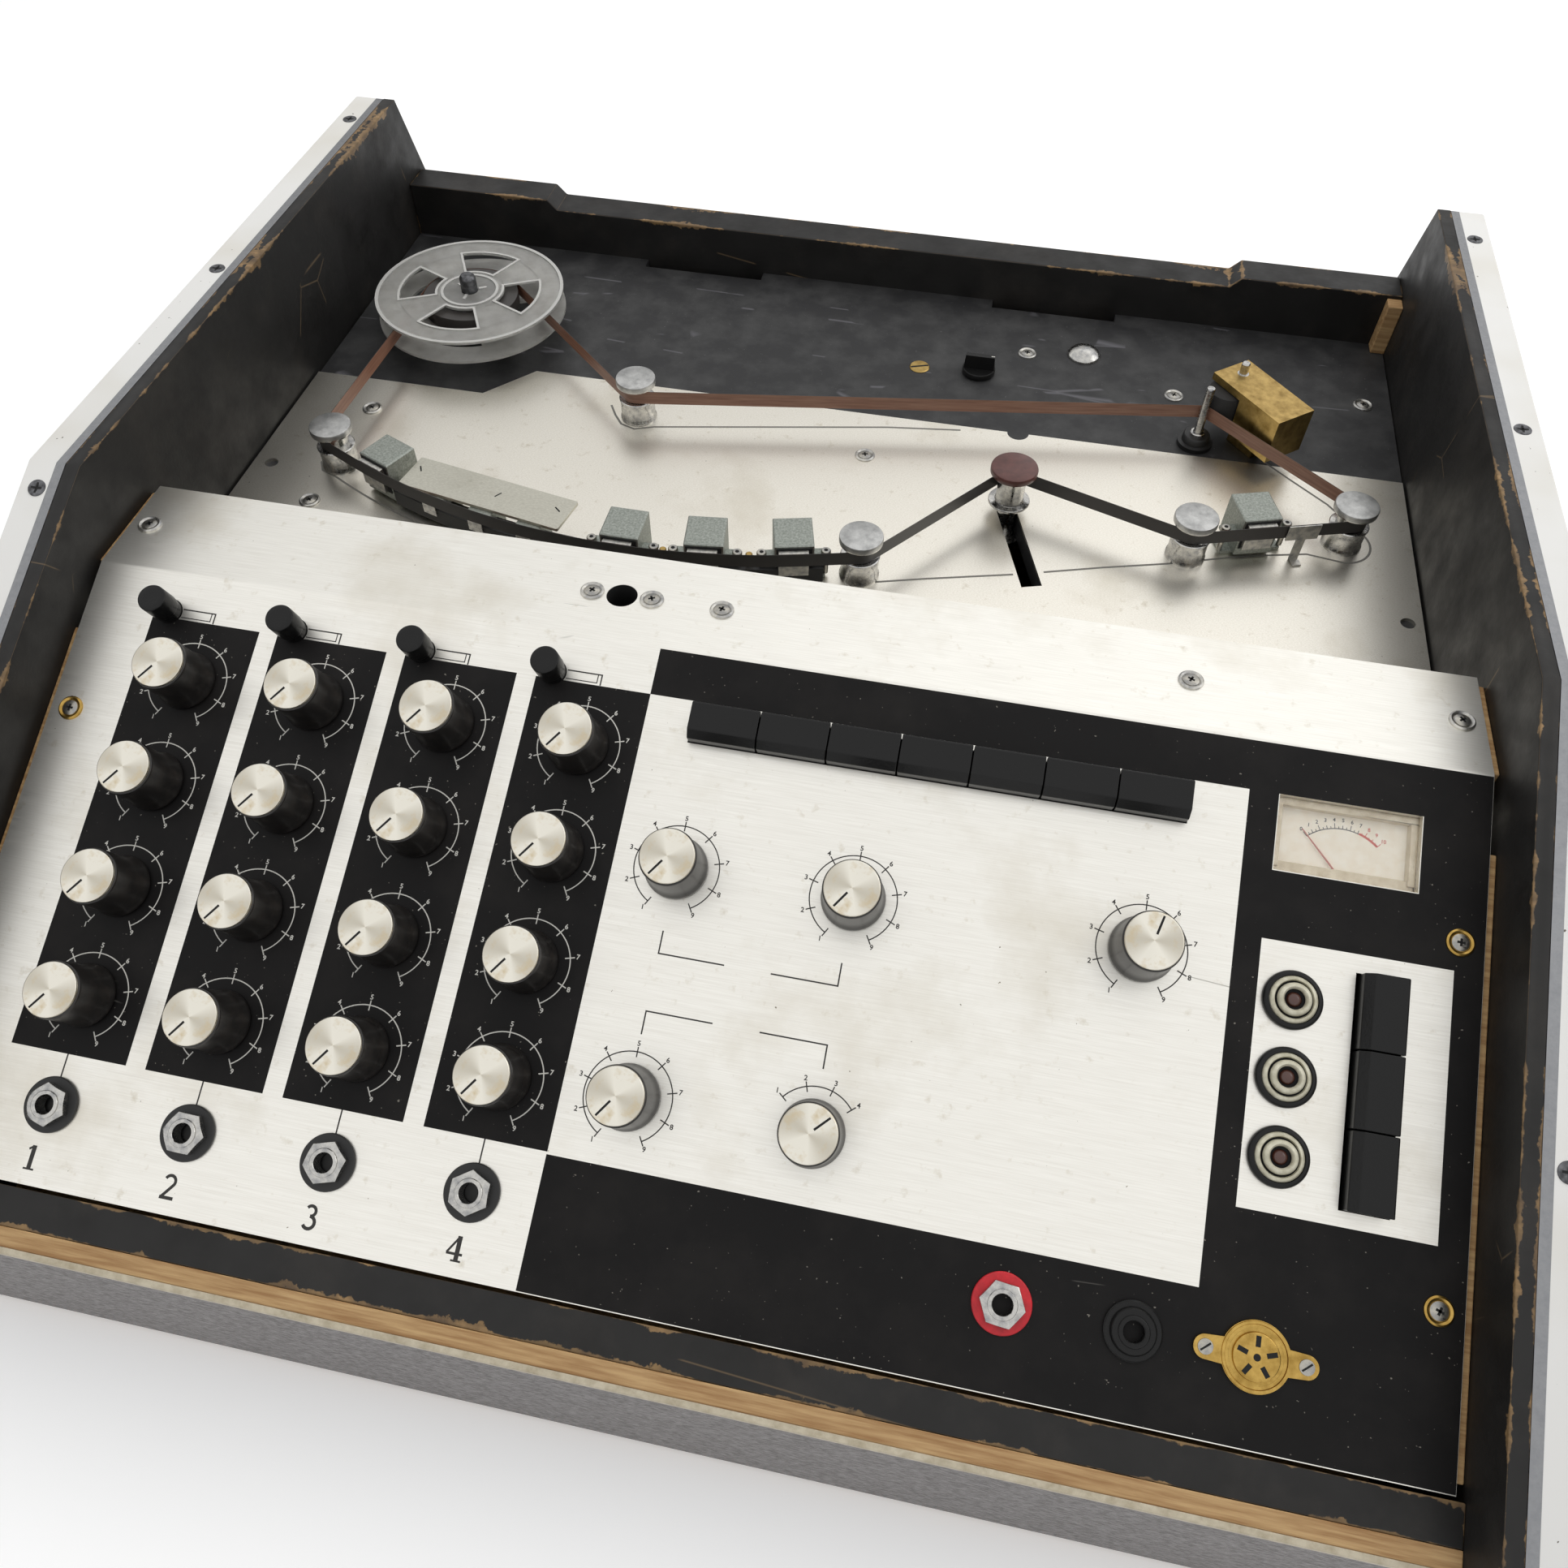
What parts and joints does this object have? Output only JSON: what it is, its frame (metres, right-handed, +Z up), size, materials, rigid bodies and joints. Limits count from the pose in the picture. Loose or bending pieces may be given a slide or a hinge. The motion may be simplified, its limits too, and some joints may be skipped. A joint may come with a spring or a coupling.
{
  "type": "tape echo unit",
  "caption": "Desktop tape echo unit: sloping control panel with rotary knobs, push keys and a meter, and an open deck whose endless tape runs past heads, guides and a capstan.",
  "frame": {"origin": "middle of the footprint at the level of the feet's underside", "axes": "+X to the right seen from the control panel, +Y to the back, +Z up"},
  "size_m": [0.556, 0.5592, 0.2104],
  "materials": {
    "plywood": "bare plywood",
    "black_ply": "black paint, satin, worn at the edges",
    "white_ply": "white paint, satin",
    "grey_cloth": "grey textured covering on plywood",
    "foot_rubber": "matt",
    "panel_sheet": "brushed and screen-printed black",
    "switch_bodies": "plain",
    "meter_case": "cream dial behind a clear window",
    "needle": "satin",
    "lamp_body": "black ring, metal ring and brown-red lens",
    "nickel": "nickel plate",
    "screw_steel": "plain",
    "knob_black": "black moulding with a spun metal cap",
    "button_black": "gloss",
    "deck_paint": "black paint, satin",
    "deck_sheet": "brushed",
    "guide_steel": "turned, polished",
    "head_metal": "satin",
    "tape_film": "oxide brown",
    "reel_plastic": "translucent",
    "post_metal": "turned, with a brown cap",
    "capstan_steel": "ground",
    "pinch_brass": "plain",
    "roller_rubber": "ground",
    "motor_paint": "satin",
    "circuit_board": "plain"
  },
  "bodies": {
    "case": {"base_board": "plywood", "inner_boards": "black_ply", "side_cheeks": "white_ply", "front_fascia": "grey_cloth", "rubber_feet": "foot_rubber", "control_panel": "panel_sheet", "pots_and_switches": "switch_bodies", "vu_meter": "meter_case", "lamps": "lamp_body", "sockets": "nickel", "screws": "screw_steel", "deck_board": "deck_paint", "deck_plate": "deck_sheet", "tape_guides": "guide_steel", "tape_heads": "head_metal", "tape_loop": "tape_film", "drive_motor": "motor_paint", "electronics": "circuit_board"},
    "ch1_echo_knob": {"ch1_echo_knob": "knob_black"},
    "ch1_treble_knob": {"ch1_treble_knob": "knob_black"},
    "ch1_bass_knob": {"ch1_bass_knob": "knob_black"},
    "ch1_gain_knob": {"ch1_gain_knob": "knob_black"},
    "ch2_echo_knob": {"ch2_echo_knob": "knob_black"},
    "ch2_treble_knob": {"ch2_treble_knob": "knob_black"},
    "ch2_bass_knob": {"ch2_bass_knob": "knob_black"},
    "ch2_gain_knob": {"ch2_gain_knob": "knob_black"},
    "ch3_echo_knob": {"ch3_echo_knob": "knob_black"},
    "ch3_treble_knob": {"ch3_treble_knob": "knob_black"},
    "ch3_bass_knob": {"ch3_bass_knob": "knob_black"},
    "ch3_gain_knob": {"ch3_gain_knob": "knob_black"},
    "ch4_echo_knob": {"ch4_echo_knob": "knob_black"},
    "ch4_treble_knob": {"ch4_treble_knob": "knob_black"},
    "ch4_bass_knob": {"ch4_bass_knob": "knob_black"},
    "ch4_gain_knob": {"ch4_gain_knob": "knob_black"},
    "swell_knob": {"swell_knob": "knob_black"},
    "sustain_knob": {"sustain_knob": "knob_black"},
    "master_knob": {"master_knob": "knob_black"},
    "reverb_volume_knob": {"reverb_volume_knob": "knob_black"},
    "reverb_dimension_knob": {"reverb_dimension_knob": "knob_black"},
    "mute_button_1": {"mute_button_1": "button_black"},
    "mute_button_2": {"mute_button_2": "button_black"},
    "mute_button_3": {"mute_button_3": "button_black"},
    "mute_button_4": {"mute_button_4": "button_black"},
    "effect_key_1": {"effect_key_1": "button_black"},
    "effect_key_2": {"effect_key_2": "button_black"},
    "effect_key_3": {"effect_key_3": "button_black"},
    "effect_key_4": {"effect_key_4": "button_black"},
    "effect_key_5": {"effect_key_5": "button_black"},
    "effect_key_6": {"effect_key_6": "button_black"},
    "effect_key_7": {"effect_key_7": "button_black"},
    "mains_key": {"mains_key": "button_black"},
    "motor_key": {"motor_key": "button_black"},
    "erase_key": {"erase_key": "button_black"},
    "capstan": {"capstan": "capstan_steel"},
    "tape_reel": {"tape_reel": "reel_plastic"},
    "pinch_block": {"pinch_block": "pinch_brass"},
    "pinch_roller": {"pinch_roller": "roller_rubber"},
    "release_knob": {"release_knob": "button_black"},
    "slider_post": {"slider_post": "post_metal"},
    "meter_needle": {"meter_needle": "needle"}
  },
  "joints": [
    {"name": "ch1_echo_turn", "type": "hinge", "parent": "case", "child": "ch1_echo_knob", "pos_m": [-0.2052, -0.09338, 0.16144], "axis": [0, 0.3955, -0.9184], "range_deg": [0, 270]},
    {"name": "ch1_treble_turn", "type": "hinge", "parent": "case", "child": "ch1_treble_knob", "pos_m": [-0.2052, -0.1291, 0.14605], "axis": [0, 0.3955, -0.9184], "range_deg": [0, 270]},
    {"name": "ch1_bass_turn", "type": "hinge", "parent": "case", "child": "ch1_bass_knob", "pos_m": [-0.2052, -0.16483, 0.13066], "axis": [0, 0.3955, -0.9184], "range_deg": [0, 270]},
    {"name": "ch1_gain_turn", "type": "hinge", "parent": "case", "child": "ch1_gain_knob", "pos_m": [-0.2052, -0.20056, 0.11528], "axis": [0, 0.3955, -0.9184], "range_deg": [0, 270]},
    {"name": "ch2_echo_turn", "type": "hinge", "parent": "case", "child": "ch2_echo_knob", "pos_m": [-0.1552, -0.09338, 0.16144], "axis": [0, 0.3955, -0.9184], "range_deg": [0, 270]},
    {"name": "ch2_treble_turn", "type": "hinge", "parent": "case", "child": "ch2_treble_knob", "pos_m": [-0.1552, -0.1291, 0.14605], "axis": [0, 0.3955, -0.9184], "range_deg": [0, 270]},
    {"name": "ch2_bass_turn", "type": "hinge", "parent": "case", "child": "ch2_bass_knob", "pos_m": [-0.1552, -0.16483, 0.13066], "axis": [0, 0.3955, -0.9184], "range_deg": [0, 270]},
    {"name": "ch2_gain_turn", "type": "hinge", "parent": "case", "child": "ch2_gain_knob", "pos_m": [-0.1552, -0.20056, 0.11528], "axis": [0, 0.3955, -0.9184], "range_deg": [0, 270]},
    {"name": "ch3_echo_turn", "type": "hinge", "parent": "case", "child": "ch3_echo_knob", "pos_m": [-0.1052, -0.09338, 0.16144], "axis": [0, 0.3955, -0.9184], "range_deg": [0, 270]},
    {"name": "ch3_treble_turn", "type": "hinge", "parent": "case", "child": "ch3_treble_knob", "pos_m": [-0.1052, -0.1291, 0.14605], "axis": [0, 0.3955, -0.9184], "range_deg": [0, 270]},
    {"name": "ch3_bass_turn", "type": "hinge", "parent": "case", "child": "ch3_bass_knob", "pos_m": [-0.1052, -0.16483, 0.13066], "axis": [0, 0.3955, -0.9184], "range_deg": [0, 270]},
    {"name": "ch3_gain_turn", "type": "hinge", "parent": "case", "child": "ch3_gain_knob", "pos_m": [-0.1052, -0.20056, 0.11528], "axis": [0, 0.3955, -0.9184], "range_deg": [0, 270]},
    {"name": "ch4_echo_turn", "type": "hinge", "parent": "case", "child": "ch4_echo_knob", "pos_m": [-0.0552, -0.09338, 0.16144], "axis": [0, 0.3955, -0.9184], "range_deg": [0, 270]},
    {"name": "ch4_treble_turn", "type": "hinge", "parent": "case", "child": "ch4_treble_knob", "pos_m": [-0.0552, -0.1291, 0.14605], "axis": [0, 0.3955, -0.9184], "range_deg": [0, 270]},
    {"name": "ch4_bass_turn", "type": "hinge", "parent": "case", "child": "ch4_bass_knob", "pos_m": [-0.0552, -0.16483, 0.13066], "axis": [0, 0.3955, -0.9184], "range_deg": [0, 270]},
    {"name": "ch4_gain_turn", "type": "hinge", "parent": "case", "child": "ch4_gain_knob", "pos_m": [-0.0552, -0.20056, 0.11528], "axis": [0, 0.3955, -0.9184], "range_deg": [0, 270]},
    {"name": "swell_turn", "type": "hinge", "parent": "case", "child": "swell_knob", "pos_m": [-0.0114, -0.12754, 0.14672], "axis": [0, 0.3955, -0.9184], "range_deg": [0, 270]},
    {"name": "sustain_turn", "type": "hinge", "parent": "case", "child": "sustain_knob", "pos_m": [0.0502, -0.12754, 0.14672], "axis": [0, 0.3955, -0.9184], "range_deg": [0, 270]},
    {"name": "master_turn", "type": "hinge", "parent": "case", "child": "master_knob", "pos_m": [0.1465, -0.12754, 0.14672], "axis": [0, 0.3955, -0.9184], "range_deg": [-150, 120]},
    {"name": "reverb_volume_turn", "type": "hinge", "parent": "case", "child": "reverb_volume_knob", "pos_m": [-0.0114, -0.19909, 0.11591], "axis": [0, 0.3955, -0.9184], "range_deg": [0, 270]},
    {"name": "reverb_dimension_turn", "type": "hinge", "parent": "case", "child": "reverb_dimension_knob", "pos_m": [0.0502, -0.19909, 0.11591], "axis": [0, 0.3955, -0.9184], "range_deg": [-90, 0]},
    {"name": "mute_button_1_press", "type": "slide", "parent": "case", "child": "mute_button_1", "axis": [0, 0.3955, -0.9184], "range_m": [0, 0.003], "stiffness_N_per_m": 300, "springref_m": -0.002},
    {"name": "mute_button_2_press", "type": "slide", "parent": "case", "child": "mute_button_2", "axis": [0, 0.3955, -0.9184], "range_m": [0, 0.003], "stiffness_N_per_m": 300, "springref_m": -0.002},
    {"name": "mute_button_3_press", "type": "slide", "parent": "case", "child": "mute_button_3", "axis": [0, 0.3955, -0.9184], "range_m": [0, 0.003], "stiffness_N_per_m": 300, "springref_m": -0.002},
    {"name": "mute_button_4_press", "type": "slide", "parent": "case", "child": "mute_button_4", "axis": [0, 0.3955, -0.9184], "range_m": [0, 0.003], "stiffness_N_per_m": 300, "springref_m": -0.002},
    {"name": "effect_key_1_press", "type": "slide", "parent": "case", "child": "effect_key_1", "axis": [0, 0.3955, -0.9184], "range_m": [0, 0.004], "stiffness_N_per_m": 400, "springref_m": -0.002},
    {"name": "effect_key_2_press", "type": "slide", "parent": "case", "child": "effect_key_2", "axis": [0, 0.3955, -0.9184], "range_m": [0, 0.004], "stiffness_N_per_m": 400, "springref_m": -0.002},
    {"name": "effect_key_3_press", "type": "slide", "parent": "case", "child": "effect_key_3", "axis": [0, 0.3955, -0.9184], "range_m": [0, 0.004], "stiffness_N_per_m": 400, "springref_m": -0.002},
    {"name": "effect_key_4_press", "type": "slide", "parent": "case", "child": "effect_key_4", "axis": [0, 0.3955, -0.9184], "range_m": [0, 0.004], "stiffness_N_per_m": 400, "springref_m": -0.002},
    {"name": "effect_key_5_press", "type": "slide", "parent": "case", "child": "effect_key_5", "axis": [0, 0.3955, -0.9184], "range_m": [0, 0.004], "stiffness_N_per_m": 400, "springref_m": -0.002},
    {"name": "effect_key_6_press", "type": "slide", "parent": "case", "child": "effect_key_6", "axis": [0, 0.3955, -0.9184], "range_m": [0, 0.004], "stiffness_N_per_m": 400, "springref_m": -0.002},
    {"name": "effect_key_7_press", "type": "slide", "parent": "case", "child": "effect_key_7", "axis": [0, 0.3955, -0.9184], "range_m": [0, 0.004], "stiffness_N_per_m": 400, "springref_m": -0.002},
    {"name": "mains_key_press", "type": "slide", "parent": "case", "child": "mains_key", "axis": [0, 0.3955, -0.9184], "range_m": [0, 0.004], "stiffness_N_per_m": 400, "springref_m": -0.002},
    {"name": "motor_key_press", "type": "slide", "parent": "case", "child": "motor_key", "axis": [0, 0.3955, -0.9184], "range_m": [0, 0.004], "stiffness_N_per_m": 400, "springref_m": -0.002},
    {"name": "erase_key_press", "type": "slide", "parent": "case", "child": "erase_key", "axis": [0, 0.3955, -0.9184], "range_m": [0, 0.004], "stiffness_N_per_m": 400, "springref_m": -0.002},
    {"name": "capstan_spin", "type": "hinge", "parent": "case", "child": "capstan", "pos_m": [0.1637, 0.15625, 0.14251], "axis": [0, 0, 1], "continuous": true},
    {"name": "reel_spin", "type": "hinge", "parent": "case", "child": "tape_reel", "pos_m": [-0.194, 0.17535, 0.14251], "axis": [0, 0, 1], "continuous": true},
    {"name": "pinch_slide", "type": "slide", "parent": "case", "child": "pinch_block", "axis": [0.766, 0.6428, 0], "range_m": [0, 0.004]},
    {"name": "roller_spin", "type": "hinge", "parent": "pinch_block", "child": "pinch_roller", "pos_m": [0.17285, 0.16393, 0.14251], "axis": [0, 0, 1], "continuous": true},
    {"name": "release_turn", "type": "hinge", "parent": "case", "child": "release_knob", "pos_m": [0.0592, 0.19165, 0.14251], "axis": [0, 0, 1], "range_deg": [0, 90]},
    {"name": "slider_slide", "type": "slide", "parent": "case", "child": "slider_post", "axis": [0.3057, -0.9521, 0], "range_m": [0, 0.043]},
    {"name": "needle_swing", "type": "hinge", "parent": "case", "child": "meter_needle", "pos_m": [0.2089, -0.09153, 0.15461], "axis": [0, 0.3955, -0.9184], "range_deg": [0, 84], "stiffness_Nm_per_rad": 0.0001, "springref_deg": -28.65}
  ],
  "couplings": [
    {"joint": "reel_spin", "follows": "capstan_spin", "ratio": 0.085837},
    {"joint": "roller_spin", "follows": "capstan_spin", "ratio": -0.22222},
    {"joint": "release_turn", "follows": "pinch_slide", "rad_per_m": 392.7}
  ]
}
